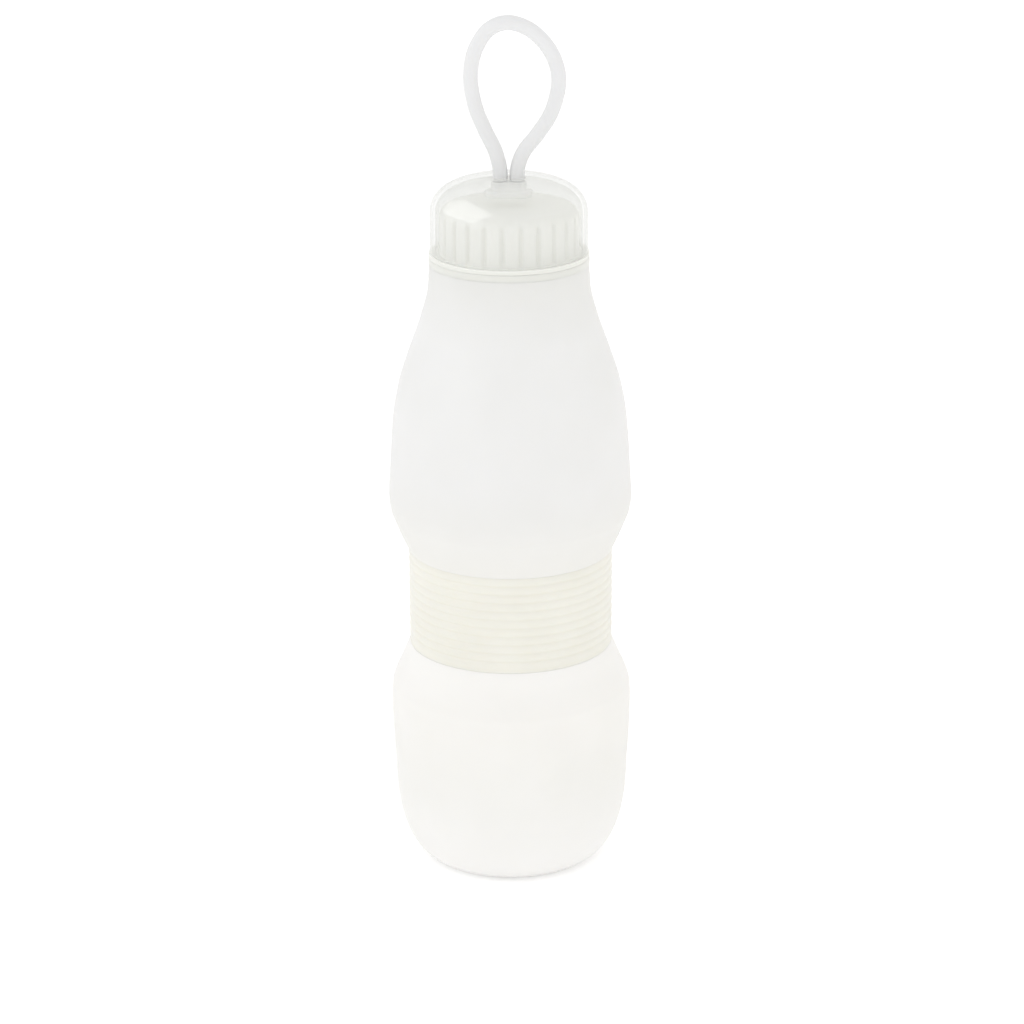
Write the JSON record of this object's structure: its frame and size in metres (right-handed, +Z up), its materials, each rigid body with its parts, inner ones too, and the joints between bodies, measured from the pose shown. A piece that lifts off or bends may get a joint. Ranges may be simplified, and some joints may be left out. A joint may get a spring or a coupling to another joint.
{
  "type": "folding water bottle",
  "caption": "Soft translucent water bottle that folds down over a ribbed waist, with a domed screw cap and a cord carrying loop.",
  "frame": {"origin": "middle of the flat foot that the bottle stands on", "axes": "+Z up along the bottle's axis; the carrying loop stands in the XZ plane"},
  "size_m": [0.0718, 0.0718, 0.2567],
  "materials": {
    "body_silicone": "matt translucent white silicone",
    "band_silicone": "matt translucent cream silicone",
    "cap_plastic": "satin natural polypropylene",
    "cap_clear": "glossy clear plastic",
    "seal_silicone": "matt white silicone",
    "strap_silicone": "smooth translucent silicone cord"
  },
  "bodies": {
    "lower_body": {"lower_body": "body_silicone", "lower_fold_wall": "body_silicone"},
    "waist": {"waist_tube": "body_silicone", "waist_band": "band_silicone", "upper_fold_wall": "body_silicone"},
    "upper_body": {"upper_body": "body_silicone", "neck_collar": "cap_plastic", "mouthpiece": "cap_plastic"},
    "cap_lift": {"cap_gasket": "seal_silicone"},
    "cap": {"cap_core": "cap_plastic", "cap_shell": "cap_clear", "strap_anchor": "strap_silicone"},
    "strap": {"strap_loop": "strap_silicone"}
  },
  "joints": [
    {"name": "lower_fold", "type": "slide", "parent": "lower_body", "child": "waist", "axis": [0, 0, -1], "range_m": [0, 0.0246], "deforming": ["lower_fold_wall"]},
    {"name": "upper_fold", "type": "slide", "parent": "waist", "child": "upper_body", "axis": [0, 0, -1], "range_m": [0, 0.0246], "deforming": ["upper_fold_wall"]},
    {"name": "cap_rise", "type": "slide", "parent": "upper_body", "child": "cap_lift", "axis": [0, 0, 1], "range_m": [0, 0.0121]},
    {"name": "cap_turn", "type": "hinge", "parent": "cap_lift", "child": "cap", "pos_m": [0, 0, 0.194], "axis": [0, 0, 1], "range_deg": [0, 1080]},
    {"name": "strap_flex", "type": "hinge", "parent": "cap", "child": "strap", "pos_m": [0, 0, 0.2095], "axis": [1, 0, 0], "range_deg": [-60, 60], "stiffness_Nm_per_rad": 0.006, "deforming": ["strap_loop"]}
  ],
  "couplings": [
    {"joint": "cap_rise", "follows": "cap_turn", "m_per_rad": 0.00063662}
  ]
}
